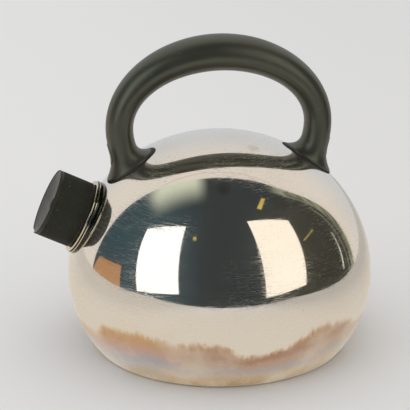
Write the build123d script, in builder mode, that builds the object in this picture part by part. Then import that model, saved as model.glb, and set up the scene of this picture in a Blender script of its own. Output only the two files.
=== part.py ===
from build123d import *
import math
import os

os.makedirs("parts", exist_ok=True)

# Sizes in millimetres. +Z is up, the table is Z = 0 and the kettle's own axis is the Z axis.
# The spout points along -X, and the handle arches over in the same XZ plane.

# Kettle body, a flattened ball with a flat base
body_radius = 106.9
widest_height = 50.5
dome_rise = 99.9
bottom_drop = 89.1
wall = 1.0

# Base, from the table up
cover_thickness = 0.8
cover_rim_width = 1.0
spreader_thickness = 4.0
pan_thickness = 1.2
base_edge_height = 0.8
base_inset = 0.6

# Spout, measured along its own axis from the point where that axis leaves the ball
spout_angle = 26.0
spout_radius_out = 94.6
spout_height = 95.0
neck_bore_radius = 20.0
neck_wall = 1.2
neck_inside = 11.0
collar_radius = 26.0
collar_top = 2.3
collar_lip = 1.1
groove_depth = 1.2
groove_height = 0.6
bead_extra = 0.9
bead_height = 0.2

# Cap, which pushes into the neck
cap_radius = 23.4
cap_length = 25.4
rib_count = 120
rib_depth = 0.35
plain_band = 0.9
cap_edge_round = 1.2
face_recess_radius = 21.6
face_seat = 8.0
face_dish = 4.6
face_rim_drop = 0.5
face_thickness = 1.8
face_skirt = 2.0
steam_hole_radius = 4.0
drain_notch_width = 8.0
drain_notch_depth = 2.2
plug_radius = 17.2
plug_wall = 2.4
plug_lip = 1.5
plug_lip_height = 1.2
seal_flange = 0.6
seal_flange_radius = 22.6
seal_length = 9.0
seal_plug_gap = 0.05
seal_bore_gap = 0.08
whistle_thickness = 0.8
whistle_spacing = 5.0
whistle_level = 6.0
whistle_hole_radius = 2.2
whistle_rim = 2.0

# Handle, an arch with a trumpet foot at each end
arch_top = 207.5
arch_reach = 69.0
arch_side_height = 156.5
leg_bend_radius = 48.0
leg_bend_angle = 32.3
grip_half_height = 12.3
grip_half_depth = 17.2
side_half_width = 9.4
side_half_depth = 12.5
foot_half_length = 20.0
foot_half_depth = 16.0
foot_flare_length = 16.0
foot_buried = 7.0
gasket_thickness = 0.8
arch_steps = 16
overrun_steps = 3
leg_steps = 12

# Handle fastening
bracket_width = 8.0
bracket_depth = 12.0
bracket_centre = 65.0
bracket_top = 150.0
bracket_gap = 0.2
bracket_foot_width = 12.0
bracket_foot_depth = 16.0
bracket_foot_thickness = 1.5
screw_height = 140.0
screw_radius = 2.5
screw_head_radius = 4.2
screw_head_height = 1.6
screw_length = 8.8
screw_slot_width = 1.0
screw_slot_depth = 0.8
washer_radius = 4.6
washer_thickness = 0.8
head_bore_radius = 5.0
head_bore_floor = 70.5
cover_half_width = 5.6
cover_half_height = 7.5
cover_floor = 73.1
cover_height = 139.0
cover_proud = 0.4
cover_gap = 0.15


def make_ball(inset):
    # The ball drawn in as far as the inset says, turned about the kettle's axis and cut flat at its foot
    across = body_radius - inset
    rise = dome_rise - inset
    drop = bottom_drop - inset
    with BuildPart() as ball:
        with BuildSketch(Plane.XZ):
            with BuildLine():
                EllipticalCenterArc((0, widest_height), across, rise, start_angle=0, arc_size=90)
                EllipticalCenterArc((0, widest_height), across, drop, start_angle=270, arc_size=90)
                Line((0, widest_height + rise), (0, widest_height - drop))
            make_face()
        revolve(axis=Axis.Z)
        split(bisect_by=Plane.XY.offset(base_edge_height), keep=Keep.TOP)
    return ball.part


outer_ball = make_ball(0.0)
water_ball = make_ball(wall)
gasket_ball = make_ball(-gasket_thickness)
bracket_ball = make_ball(-bracket_foot_thickness)
bracket_room_ball = make_ball(-bracket_foot_thickness - bracket_gap)


def lower_radius(height, inset=0.0):
    # Radius of the ball at a height below the widest point
    drop = bottom_drop - inset
    return (body_radius - inset) * math.sqrt(1 - ((widest_height - height) / drop) ** 2)


# The spout's plane: local Z runs out along the spout, local X lies across it
spout_out = Vector(-math.cos(math.radians(spout_angle)), 0, math.sin(math.radians(spout_angle)))
spout_foot = Vector(-spout_radius_out, 0, spout_height)
spout_plane = Plane(origin=spout_foot, x_dir=(0, 1, 0), z_dir=spout_out)
# A plane that holds the spout's axis, for outlines that are turned about it
spout_side = Plane(origin=spout_foot, x_dir=spout_plane.x_dir, z_dir=-spout_plane.y_dir)
spout_axis = Axis(spout_foot, spout_out)


def spout_outline(*points):
    # A closed outline of (radius, distance along the spout) that is then turned about the spout's axis
    with BuildSketch(spout_side) as outline:
        with BuildLine():
            Polyline(*points, close=True)
        make_face()
    return outline.sketch


base_stack = cover_thickness + spreader_thickness
neck_outer_radius = neck_bore_radius + neck_wall

# Body shell
with BuildPart() as body_shell:
    add(outer_ball)
    add(water_ball, mode=Mode.SUBTRACT)
    with BuildSketch(spout_plane.offset(-3 * neck_inside)):
        Circle(neck_outer_radius)
    extrude(amount=6 * neck_inside, mode=Mode.SUBTRACT)
body_shell.part.label = "body_shell"
export_step(body_shell.part, "parts/body_shell.step")

# Base pan, the floor of the water space, welded inside the shell
with BuildPart() as base_pan:
    add(water_ball)
    split(bisect_by=Plane.XY.offset(base_stack), keep=Keep.TOP)
    split(bisect_by=Plane.XY.offset(base_stack + pan_thickness), keep=Keep.BOTTOM)
base_pan.part.label = "base_pan"
export_step(base_pan.part, "parts/base_pan.step")

# Heat spreader, a solid disc under the pan
spreader_radius = lower_radius(cover_thickness, wall) - cover_rim_width - base_inset
with BuildPart() as heat_spreader:
    with BuildSketch(Plane.XY.offset(cover_thickness)):
        Circle(spreader_radius)
    extrude(amount=spreader_thickness)
    fillet(heat_spreader.edges().group_by(Axis.Z)[-1], cover_thickness / 2)
heat_spreader.part.label = "heat_spreader"
export_step(heat_spreader.part, "parts/heat_spreader.step")

# Base cover, a shallow steel pan around the spreader that stands on the table
with BuildPart() as base_cover:
    with BuildSketch():
        Circle(spreader_radius + cover_rim_width)
    extrude(amount=cover_thickness + spreader_thickness / 2)
    with BuildSketch(Plane.XY.offset(cover_thickness)):
        Circle(spreader_radius)
    extrude(amount=spreader_thickness, mode=Mode.SUBTRACT)
    fillet(base_cover.edges().group_by(Axis.Z)[0], cover_thickness / 2)
base_cover.part.label = "base_cover"
export_step(base_cover.part, "parts/base_cover.step")

# Spout collar: bead on the ball, groove, lip, and the neck that runs inside
lip_start = collar_top - collar_lip
groove_start = lip_start - groove_height
bead_radius = collar_radius + bead_extra
spout_collar_outline = spout_outline(
    (neck_bore_radius, -neck_inside / 2),
    (bead_radius, -neck_inside / 2),
    (bead_radius, groove_start - bead_height * 2),
    (bead_radius - bead_height * 2, groove_start),
    (collar_radius - groove_depth, groove_start),
    (collar_radius - groove_depth, lip_start),
    (collar_radius, lip_start),
    (collar_radius, collar_top),
    (neck_bore_radius, collar_top),
)
with BuildPart() as spout_collar:
    revolve(spout_collar_outline, axis=spout_axis)
    lip_edges = spout_collar.edges().filter_by(GeomType.CIRCLE).filter_by(
        lambda e: abs(e.radius - collar_radius) < 0.001
    )
    fillet(lip_edges, collar_lip / 4)
    add(outer_ball, mode=Mode.SUBTRACT)
    with BuildSketch(spout_plane.offset(-neck_inside)):
        Circle(neck_outer_radius)
        Circle(neck_bore_radius, mode=Mode.SUBTRACT)
    extrude(amount=neck_inside + groove_start)
spout_collar.part.label = "spout_collar"
export_step(spout_collar.part, "parts/spout_collar.step")

# Cap barrel, ribbed all round, with a drain notch at the lowest point of its rim
cap_start = collar_top + seal_flange
cap_end = cap_start + cap_length
face_floor = cap_end - face_seat
with BuildPart() as cap_barrel:
    with BuildSketch(spout_plane.offset(cap_start)):
        Circle(cap_radius)
    extrude(amount=cap_length)
    rim_edges = cap_barrel.edges().filter_by(GeomType.CIRCLE).sort_by(spout_axis)
    fillet(rim_edges[-1], cap_edge_round)
    fillet(rim_edges[0], cap_edge_round / 2)
    with BuildSketch(spout_plane.offset(cap_start + plain_band)):
        with PolarLocations(cap_radius, rib_count):
            Circle(rib_depth)
    extrude(amount=cap_length - plain_band - cap_edge_round - rib_depth, mode=Mode.SUBTRACT)
    with BuildSketch(spout_plane.offset(face_floor)):
        Circle(face_recess_radius)
    extrude(amount=face_seat, mode=Mode.SUBTRACT)
    with BuildSketch(spout_plane.offset(cap_start)):
        Circle(plug_radius)
    extrude(amount=cap_length, mode=Mode.SUBTRACT)
    with BuildSketch(spout_plane.offset(cap_end - drain_notch_depth)):
        with Locations((0, cap_radius)):
            Rectangle(drain_notch_width, 2 * cap_radius - face_recess_radius)
    extrude(amount=drain_notch_depth, mode=Mode.SUBTRACT)
cap_barrel.part.label = "cap_barrel"
export_step(cap_barrel.part, "parts/cap_barrel.step")

# Cap face, a dished plate with the steam hole in its middle
face_rim = cap_end - drain_notch_depth - face_rim_drop
face_middle = face_rim - face_dish
with BuildPart() as cap_face:
    with BuildSketch(spout_side):
        with BuildLine():
            Line((steam_hole_radius, face_middle - face_thickness), (steam_hole_radius, face_middle))
            ThreePointArc(
                (steam_hole_radius, face_middle),
                (face_recess_radius * 0.62, face_middle + face_dish * 0.33),
                (face_recess_radius, face_rim),
            )
            Line((face_recess_radius, face_rim), (face_recess_radius, face_floor))
            Line((face_recess_radius, face_floor), (face_recess_radius - face_skirt, face_floor))
            Line(
                (face_recess_radius - face_skirt, face_floor),
                (face_recess_radius - face_skirt, face_rim - face_thickness - face_dish * 0.25),
            )
            ThreePointArc(
                (face_recess_radius - face_skirt, face_rim - face_thickness - face_dish * 0.25),
                (face_recess_radius * 0.58, face_middle + face_dish * 0.26 - face_thickness),
                (steam_hole_radius, face_middle - face_thickness),
            )
        make_face()
    revolve(axis=spout_axis)
cap_face.part.label = "cap_face"
export_step(cap_face.part, "parts/cap_face.step")

# Cap plug, a sleeve inside the barrel that reaches into the neck
plug_bore_radius = plug_radius - plug_wall
seal_start = collar_top - seal_length
cap_plug_outline = spout_outline(
    (plug_bore_radius, seal_start - plug_lip_height),
    (plug_radius + plug_lip, seal_start - plug_lip_height),
    (plug_radius + plug_lip, seal_start),
    (plug_radius, seal_start),
    (plug_radius, face_floor),
    (plug_bore_radius, face_floor),
    (plug_bore_radius, whistle_level + whistle_spacing + 2 * whistle_thickness),
    (plug_bore_radius - whistle_rim, whistle_level + whistle_spacing + 2 * whistle_thickness),
    (plug_bore_radius - whistle_rim, whistle_level + whistle_spacing + whistle_thickness),
    (plug_bore_radius, whistle_level + whistle_spacing + whistle_thickness),
)
with BuildPart() as cap_plug:
    revolve(cap_plug_outline, axis=spout_axis)
cap_plug.part.label = "cap_plug"
export_step(cap_plug.part, "parts/cap_plug.step")

# Cap seal, a soft sleeve round the plug with a flange under the barrel
cap_seal_outline = spout_outline(
    (plug_radius + seal_plug_gap, seal_start),
    (neck_bore_radius - seal_bore_gap, seal_start),
    (neck_bore_radius - seal_bore_gap, collar_top),
    (seal_flange_radius, collar_top),
    (seal_flange_radius, cap_start),
    (plug_radius + seal_plug_gap, cap_start),
)
with BuildPart() as cap_seal:
    revolve(cap_seal_outline, axis=spout_axis)
cap_seal.part.label = "cap_seal"
export_step(cap_seal.part, "parts/cap_seal.step")

# Whistle cup and whistle disc, two holed plates one above the other inside the plug
whistle_cup_outline = spout_outline(
    (whistle_hole_radius, whistle_level),
    (plug_bore_radius, whistle_level),
    (plug_bore_radius, whistle_level + whistle_spacing),
    (plug_bore_radius - whistle_rim / 2, whistle_level + whistle_spacing),
    (plug_bore_radius - whistle_rim / 2, whistle_level + whistle_thickness),
    (whistle_hole_radius, whistle_level + whistle_thickness),
)
with BuildPart() as whistle_cup:
    revolve(whistle_cup_outline, axis=spout_axis)
whistle_cup.part.label = "whistle_cup"
export_step(whistle_cup.part, "parts/whistle_cup.step")

disc_level = whistle_level + whistle_spacing
whistle_disc_outline = spout_outline(
    (whistle_hole_radius, disc_level),
    (plug_bore_radius, disc_level),
    (plug_bore_radius, disc_level + whistle_thickness),
    (whistle_hole_radius, disc_level + whistle_thickness),
)
with BuildPart() as whistle_disc:
    revolve(whistle_disc_outline, axis=spout_axis)
whistle_disc.part.label = "whistle_disc"
export_step(whistle_disc.part, "parts/whistle_disc.step")

# Handle stock: oval sections along the arch, wide and deep at the top, flared at each foot
arch_rise = arch_top - arch_side_height
leg_end_angle = math.radians(leg_bend_angle)
leg_length = leg_bend_radius * leg_end_angle


def arch_station(along):
    # Point and direction on the arch: 0 is the top, 1 the side, past 1 the distance down the leg
    if along <= 1.0:
        turn = along * math.pi / 2
        x = arch_reach * math.sin(turn)
        z = arch_side_height + arch_rise * math.cos(turn)
        step = Vector(arch_reach * math.cos(turn), 0, -arch_rise * math.sin(turn))
        return x, z, step.normalized()
    turn = (along - 1.0) / leg_bend_radius
    if turn <= leg_end_angle:
        x = arch_reach - leg_bend_radius * (1 - math.cos(turn))
        z = arch_side_height - leg_bend_radius * math.sin(turn)
        return x, z, Vector(-math.sin(turn), 0, -math.cos(turn))
    beyond = (turn - leg_end_angle) * leg_bend_radius
    step = Vector(-math.sin(leg_end_angle), 0, -math.cos(leg_end_angle))
    x = arch_reach - leg_bend_radius * (1 - math.cos(leg_end_angle)) + step.X * beyond
    z = arch_side_height - leg_bend_radius * math.sin(leg_end_angle) + step.Z * beyond
    return x, z, step


def arch_half_sizes(along):
    # Half width in the plane of the arch and half depth across it
    if along <= 1.0:
        blend = (1 - math.cos(along * math.pi)) / 2
        width = grip_half_height + (side_half_width - grip_half_height) * blend
        depth = grip_half_depth + (side_half_depth - grip_half_depth) * blend
        return width, depth
    to_ball = leg_length - (along - 1.0)
    flare = max(0.0, 1 - max(to_ball, 0.0) / foot_flare_length) ** 3
    width = side_half_width + (foot_half_length - side_half_width) * flare
    depth = side_half_depth + (foot_half_depth - side_half_depth) * flare
    return width, depth


# Even steps along the arch and shorter even steps down the leg, into the ball
stations = []
for step_number in range(-overrun_steps, arch_steps + 1):
    stations.append(step_number / arch_steps)
leg_reach = leg_length + foot_buried
for step_number in range(1, leg_steps + 1):
    stations.append(1.0 + leg_reach * step_number / leg_steps)

# The rear half is made a little past the middle, then cut there, and the front half mirrors it
with BuildPart() as half_stock:
    for along in stations:
        x, z, step = arch_station(along)
        half_width, half_depth = arch_half_sizes(abs(along))
        with BuildSketch(Plane(origin=(x, 0, z), x_dir=(0, 1, 0), z_dir=step)):
            Ellipse(half_depth, half_width)
    loft()
    split(bisect_by=Plane.YZ, keep=Keep.TOP)

# What stands at each foot: a bracket welded to the ball, and the room for it in the foot
ends = {"front": -1, "rear": 1}


def make_bracket(side, gap, foot_ball):
    # A post on a foot plate that lies on the ball, larger all round by the gap
    foot_width = bracket_foot_width + 2 * gap
    foot_depth = bracket_foot_depth + 2 * gap
    with BuildPart() as bracket:
        with BuildSketch(Plane.XY.offset(widest_height)):
            with Locations((side * bracket_centre, 0)):
                RectangleRounded(foot_width, foot_depth, bracket_width / 4)
        extrude(amount=arch_top - widest_height)
        add(foot_ball, mode=Mode.INTERSECT)
        with BuildSketch(Plane.XY.offset(widest_height)):
            with Locations((side * bracket_centre, 0)):
                RectangleRounded(bracket_width + 2 * gap, bracket_depth + 2 * gap, bracket_width / 4)
        extrude(amount=bracket_top + gap - widest_height)
        add(outer_ball, mode=Mode.SUBTRACT)
    return bracket.part


def cross_plane(reach, side, height=screw_height):
    # Upright plane square to the spout's direction, facing away from the kettle's axis
    return Plane(origin=(side * reach, 0, height), x_dir=(0, side, 0), z_dir=(side, 0, 0))


bracket_rooms = []
for name, side in ends.items():
    bracket_rooms.append(make_bracket(side, bracket_gap, bracket_room_ball))

# Handle arch, one moulding with a socket, a screw bore and a cover recess at each foot
with BuildPart() as handle_arch:
    add(half_stock.part)
    add(gasket_ball, mode=Mode.SUBTRACT)
    mirror(about=Plane.YZ)
    for room in bracket_rooms:
        add(room, mode=Mode.SUBTRACT)
    for name, side in ends.items():
        with BuildSketch(cross_plane(bracket_centre, side)):
            Circle(screw_radius + bracket_gap)
        extrude(amount=arch_reach, mode=Mode.SUBTRACT)
        with BuildSketch(cross_plane(head_bore_floor, side)):
            Circle(head_bore_radius)
        extrude(amount=arch_reach, mode=Mode.SUBTRACT)
        with BuildSketch(cross_plane(cover_floor, side, cover_height)):
            Ellipse(cover_half_width + cover_gap, cover_half_height + cover_gap)
        extrude(amount=arch_reach, mode=Mode.SUBTRACT)
handle_arch.part.label = "handle_arch"
export_step(handle_arch.part, "parts/handle_arch.step")

# The loose and welded pieces of each foot
proud_stock = half_stock.part.moved(Location((cover_proud, 0, 0)))
head_start = head_bore_floor + washer_thickness
screw_start = head_start - screw_length
for name, side in ends.items():
    bracket_stock = make_bracket(side, 0.0, bracket_ball)
    with BuildPart() as handle_bracket:
        add(bracket_stock)
        with BuildSketch(cross_plane(screw_start, side)):
            Circle(screw_radius)
        extrude(amount=screw_length, mode=Mode.SUBTRACT)
    handle_bracket.part.label = name + "_handle_bracket"
    export_step(handle_bracket.part, "parts/" + name + "_handle_bracket.step")

    with BuildPart() as foot_gasket:
        add(half_stock.part)
        add(gasket_ball, mode=Mode.INTERSECT)
        add(outer_ball, mode=Mode.SUBTRACT)
        if side < 0:
            mirror(about=Plane.YZ)
            split(bisect_by=Plane.YZ, keep=Keep.BOTTOM)
        for room in bracket_rooms:
            add(room, mode=Mode.SUBTRACT)
    foot_gasket.part.label = name + "_foot_gasket"
    export_step(foot_gasket.part, "parts/" + name + "_foot_gasket.step")

    with BuildPart() as handle_washer:
        with BuildSketch(cross_plane(head_bore_floor, side)):
            Circle(washer_radius)
            Circle(screw_radius, mode=Mode.SUBTRACT)
        extrude(amount=washer_thickness)
    handle_washer.part.label = name + "_handle_washer"
    export_step(handle_washer.part, "parts/" + name + "_handle_washer.step")

    with BuildPart() as handle_screw:
        with BuildSketch(cross_plane(screw_start, side)):
            Circle(screw_radius)
        extrude(amount=screw_length)
        with BuildSketch(cross_plane(head_start, side)):
            Circle(screw_head_radius)
        extrude(amount=screw_head_height)
        with BuildSketch(cross_plane(head_start + screw_head_height - screw_slot_depth, side)):
            Rectangle(2 * screw_head_radius + screw_slot_width, screw_slot_width)
        extrude(amount=screw_slot_depth, mode=Mode.SUBTRACT)
    handle_screw.part.label = name + "_handle_screw"
    export_step(handle_screw.part, "parts/" + name + "_handle_screw.step")

    with BuildPart() as screw_cover:
        with BuildSketch(cross_plane(cover_floor, 1, cover_height)):
            Ellipse(cover_half_width, cover_half_height)
        extrude(amount=arch_reach)
        add(proud_stock, mode=Mode.INTERSECT)
        if side < 0:
            mirror(about=Plane.YZ)
            split(bisect_by=Plane.YZ, keep=Keep.BOTTOM)
    screw_cover.part.label = name + "_screw_cover"
    export_step(screw_cover.part, "parts/" + name + "_screw_cover.step")
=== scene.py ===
import bpy
import math
from mathutils import Matrix, Vector


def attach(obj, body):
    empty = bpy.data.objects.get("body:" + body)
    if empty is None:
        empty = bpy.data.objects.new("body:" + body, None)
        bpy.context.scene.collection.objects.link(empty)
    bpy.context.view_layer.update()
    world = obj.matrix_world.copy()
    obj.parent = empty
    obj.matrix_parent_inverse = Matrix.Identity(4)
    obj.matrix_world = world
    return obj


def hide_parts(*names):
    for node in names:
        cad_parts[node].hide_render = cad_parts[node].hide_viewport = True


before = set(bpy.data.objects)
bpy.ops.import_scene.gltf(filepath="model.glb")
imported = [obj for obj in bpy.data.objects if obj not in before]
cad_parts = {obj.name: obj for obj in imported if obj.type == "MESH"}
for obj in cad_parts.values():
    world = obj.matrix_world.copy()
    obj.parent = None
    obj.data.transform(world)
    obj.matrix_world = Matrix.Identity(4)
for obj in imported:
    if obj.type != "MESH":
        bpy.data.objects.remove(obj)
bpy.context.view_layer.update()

scene = bpy.context.scene

# Camera, as the photograph stands
camera = {"distance": 1.0, "elevation": 18.0, "azimuth": -9.0, "lookHeight": 0.0986,
          "lens": 125.4, "sensor": 36.0, "shiftX": -0.0354, "nearest": 0.01, "furthest": 50}


def makeCamera():
    data = bpy.data.cameras.new("camera")
    data.lens = camera["lens"]
    data.sensor_width = camera["sensor"]
    data.shift_x = camera["shiftX"]
    data.clip_start = camera["nearest"]
    data.clip_end = camera["furthest"]
    eye = bpy.data.objects.new("camera", data)
    scene.collection.objects.link(eye)
    around = math.radians(camera["azimuth"])
    up = math.radians(camera["elevation"])
    away = Vector((math.sin(around) * math.cos(up), -math.cos(around) * math.cos(up), math.sin(up)))
    target = Vector((0, 0, camera["lookHeight"]))
    eye.location = target + away * camera["distance"]
    eye.rotation_euler = (target - eye.location).to_track_quat("-Z", "Y").to_euler()
    scene.camera = eye


makeCamera()
scene.view_settings.view_transform = "Standard"
print("camera set")

# the photograph's own left and right, for what the kettle mirrors
turn = Matrix.Rotation(math.radians(camera["azimuth"]), 3, "Z")


# Node helpers
def newMaterial(name):
    mat = bpy.data.materials.new(name)
    mat.use_nodes = True
    tree = mat.node_tree
    tree.nodes.clear()
    return mat, tree


def feed(tree, socket, value):
    # The value is a number, a colour, a vector or the output of another node
    if isinstance(value, (int, float)):
        socket.default_value = value
    elif isinstance(value, (tuple, list)):
        socket.default_value = (*value[:3], 1) if len(socket.default_value) == 4 else value
    else:
        tree.links.new(value, socket)


def addNode(tree, kind, inputs=None, **settings):
    # The settings come first, since some of them change the inputs
    node = tree.nodes.new(kind)
    for key, value in settings.items():
        setattr(node, key, value)
    for key, value in (inputs or {}).items():
        feed(tree, node.inputs[key], value)
    return node


def math2(tree, operation, a, b=None, clamp=False):
    inputs = {0: a} if b is None else {0: a, 1: b}
    return addNode(tree, "ShaderNodeMath", inputs, operation=operation, use_clamp=clamp).outputs[0]


def times(tree, a, b):
    return math2(tree, "MULTIPLY", a, b)


def plus(tree, a, b):
    return math2(tree, "ADD", a, b)


def minus(tree, a, b):
    return math2(tree, "SUBTRACT", a, b)


def highest(tree, a, b):
    return math2(tree, "MAXIMUM", a, b)


def vectorMath(tree, operation, a, b=(0, 0, 0)):
    node = addNode(tree, "ShaderNodeVectorMath", {0: a, 1: b}, operation=operation)
    return node.outputs["Vector" if operation == "MULTIPLY" else "Value"]


def mixColor(tree, factor, a, b):
    return addNode(tree, "ShaderNodeMix", {0: factor, 6: a, 7: b}, data_type="RGBA").outputs[2]


def remap(tree, value, low, high, toLow=0.0, toHigh=1.0):
    inputs = {0: value, 1: low, 2: high, 3: toLow, 4: toHigh}
    return addNode(tree, "ShaderNodeMapRange", inputs, interpolation_type="SMOOTHSTEP").outputs[0]


def window(tree, value, low, high, soft):
    # 1 between low and high with soft edges
    return times(tree, remap(tree, value, low - soft, low + soft),
                 remap(tree, value, high - soft, high + soft, 1.0, 0.0))


def objectPlace(tree):
    return addNode(tree, "ShaderNodeTexCoord").outputs["Object"]


def splitUp(tree, vector):
    return addNode(tree, "ShaderNodeSeparateXYZ", {0: vector}).outputs


def addNoise(tree, place, scale, detail=2.0, roughness=0.5, seed=None):
    inputs = {"Vector": place, "Scale": scale, "Detail": detail, "Roughness": roughness}
    if seed is not None:
        inputs["W"] = seed
    kind = "3D" if seed is None else "4D"
    return addNode(tree, "ShaderNodeTexNoise", inputs, noise_dimensions=kind).outputs["Fac"]


def addCurve(tree, value, shares):
    # A smooth curve through places given as shares of 1
    curve = addNode(tree, "ShaderNodeFloatCurve", {"Value": value})
    points = curve.mapping.curves[0].points
    points[0].location, points[1].location = shares[0], shares[-1]
    for share in shares[1:-1]:
        points.new(*share)
    curve.mapping.update()
    return curve.outputs[0]


def addRamp(tree, value, bands):
    ramp = addNode(tree, "ShaderNodeValToRGB", {0: value})
    elements = ramp.color_ramp.elements
    ramp.color_ramp.interpolation = "EASE"
    elements[0].color = (*bands[0][1], 1)
    elements[1].color = (*bands[-1][1], 1)
    for position, color in bands[1:-1]:
        elements.new(position).color = (*color, 1)
    return ramp.outputs[0]


def newGroup(name, inputs, outputs):
    # Inputs by name with their first values, outputs by name with their kinds
    group = bpy.data.node_groups.new(name, "ShaderNodeTree")
    for label, value in inputs.items():
        kind = {1: "Float", 3: "Vector", 4: "Color"}[len(value) if isinstance(value, tuple) else 1]
        socket = group.interface.new_socket(label, in_out="INPUT", socket_type="NodeSocket" + kind)
        socket.default_value = value
    for label, kind in outputs.items():
        group.interface.new_socket(label, in_out="OUTPUT", socket_type="NodeSocket" + kind)
    return group, group.nodes.new("NodeGroupInput").outputs, group.nodes.new("NodeGroupOutput").inputs


def useGroup(tree, group, **inputs):
    return addNode(tree, "ShaderNodeGroup", inputs, node_tree=group).outputs


# Shared finishes
swirls = {"turns": ((0.3, 0.1, 0.4), (1.2, 0.6, 2.1), (0.2, 1.4, 1.1)), "stretch": (1.0, 1.0, 14.0),
          "shift": (3.1, 1.7, 0.9), "width": 0.010, "patchScale": 22.0, "patchEdge": (0.34, 0.60)}


def makeSwirls():
    # Fine scratches from wiping: stretched noise, turned several ways and laid over each other
    group, start, end = newGroup("wipeScratches", {"Scale": 60.0, "Seed": 0.0},
                                 {"Height": "Float", "Mask": "Float"})
    place = objectPlace(group)
    both = 0.0
    for i, angles in enumerate(swirls["turns"]):
        stretched = addNode(group, "ShaderNodeMapping", {
            "Vector": place, "Rotation": angles, "Scale": swirls["stretch"],
            "Location": tuple(i * v for v in swirls["shift"])})
        noise = addNoise(group, stretched.outputs[0], start["Scale"], seed=start["Seed"])
        line = math2(group, "ABSOLUTE", minus(group, noise, 0.5))
        both = highest(group, both, remap(group, line, 0.0, swirls["width"], 1.0, 0.0))
    patch = addNoise(group, place, swirls["patchScale"])
    masked = times(group, both, remap(group, patch, *swirls["patchEdge"]))
    feed(group, end["Mask"], masked)
    feed(group, end["Height"], times(group, masked, -1.0))
    return group


def makeSmudges():
    # Broad smudges and water marks
    group, start, end = newGroup("smudges", {"Scale": 18.0, "Seed": 0.0}, {"Mask": "Float"})
    noise = addNoise(group, objectPlace(group), start["Scale"], 5.0, 0.62, start["Seed"])
    feed(group, end["Mask"], remap(group, noise, 0.38, 0.72))
    return group


def makeDust():
    # Dust specks: the middles of a few scattered cells
    group, start, end = newGroup("dustSpecks", {"Scale": 420.0, "Amount": 0.25}, {"Mask": "Float"})
    inputs = {"Vector": objectPlace(group), "Scale": start["Scale"]}
    cells = addNode(group, "ShaderNodeTexVoronoi", inputs, feature="F1").outputs
    spot = remap(group, cells["Distance"], 0.10, 0.22, 1.0, 0.0)
    chance = addNode(group, "ShaderNodeSeparateColor", {0: cells["Color"]}).outputs[0]
    kept = math2(group, "LESS_THAN", chance, start["Amount"])
    feed(group, end["Mask"], times(group, spot, kept))
    return group


def makeGrain():
    # Fine moulded or rolled grain as a height
    group, start, end = newGroup("fineGrain", {"Scale": 900.0, "Stretch": (1.0, 1.0, 1.0)},
                                 {"Height": "Float"})
    place = vectorMath(group, "MULTIPLY", objectPlace(group), start["Stretch"])
    feed(group, end["Height"], addNoise(group, place, start["Scale"], 3.0))
    return group


heat = {
    # top edge of the tint round the body: turn of the body (0 to 1, from the rear side), height in metres
    "edge": ((0.0, 0.036), (0.05, 0.032), (0.10, 0.038), (0.155, 0.041), (0.20, 0.040), (0.235, 0.038),
             (0.258, 0.029), (0.285, 0.032), (0.315, 0.039), (0.345, 0.044), (0.375, 0.042), (0.45, 0.032),
             (0.55, 0.038), (0.68, 0.030), (0.80, 0.042), (0.92, 0.030), (1.0, 0.036)),
    "highest": 0.06,
    # colours down from that edge to the foot
    "bands": ((0.0, (0.76, 0.52, 0.27)), (0.10, (0.52, 0.30, 0.15)), (0.26, (0.47, 0.27, 0.19)),
              (0.42, (0.56, 0.40, 0.31)), (0.58, (0.50, 0.46, 0.49)), (0.72, (0.62, 0.50, 0.39)),
              (0.86, (0.58, 0.43, 0.27)), (1.0, (0.44, 0.32, 0.19))),
    # the flank towards the spout ran hotter: amber at its edge, then pink and blue
    "hotBands": ((0.0, (0.86, 0.54, 0.20)), (0.22, (0.68, 0.38, 0.18)), (0.36, (0.60, 0.35, 0.35)),
                 (0.52, (0.38, 0.42, 0.60)), (0.70, (0.50, 0.55, 0.62)), (1.0, (0.62, 0.50, 0.32))),
    "hotSide": (-0.927, -0.375, 0.0), "hotEdge": (0.066, 0.092), "hotShare": 0.75,
    "streaks": 0.0068, "streakScale": 420.0, "streakStretch": (1.0, 1.0, 0.10),
    "waver": 0.020, "waverScale": 38.0, "softEdge": (-0.0005, 0.0060), "patchy": (0.30, 0.62, 0.55, 1.0),
    "strength": 0.94}


def makeHeatTint():
    # Colours of steel that stood over a flame: bands under a wavering edge, ragged with fine streaks
    group, start, end = newGroup("heatTint", {"Base": (0.6, 0.57, 0.5, 1.0), "Strength": 0.8},
                                 {"Color": "Color", "Mask": "Float"})
    place = objectPlace(group)
    x, y, z = splitUp(group, place)
    turnShare = plus(group, math2(group, "DIVIDE", math2(group, "ARCTAN2", y, x), 2 * math.pi), 0.5)
    edge = addCurve(group, turnShare, [(share, height / heat["highest"]) for share, height in heat["edge"]])
    edge = times(group, edge, heat["highest"])
    upright = addNode(group, "ShaderNodeMapping", {"Vector": place, "Scale": heat["streakStretch"]})
    fine = addNoise(group, upright.outputs[0], heat["streakScale"], 3.0)
    broad = addNoise(group, place, heat["waverScale"], 5.0)
    ragged = times(group, minus(group, fine, 0.5), heat["streaks"])
    waver = times(group, minus(group, broad, 0.5), heat["waver"])
    soft = plus(group, minus(group, edge, z), plus(group, ragged, waver))
    share = math2(group, "DIVIDE", soft, edge, clamp=True)
    hot = remap(group, vectorMath(group, "DOT_PRODUCT", place, heat["hotSide"]), *heat["hotEdge"])
    both = mixColor(group, times(group, hot, heat["hotShare"]), addRamp(group, share, heat["bands"]),
                    addRamp(group, share, heat["hotBands"]))
    mask = remap(group, soft, *heat["softEdge"])
    strength = times(group, times(group, mask, start["Strength"]), remap(group, broad, *heat["patchy"]))
    feed(group, end["Color"], mixColor(group, strength, start["Base"], both))
    feed(group, end["Mask"], mask)
    return group


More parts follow.
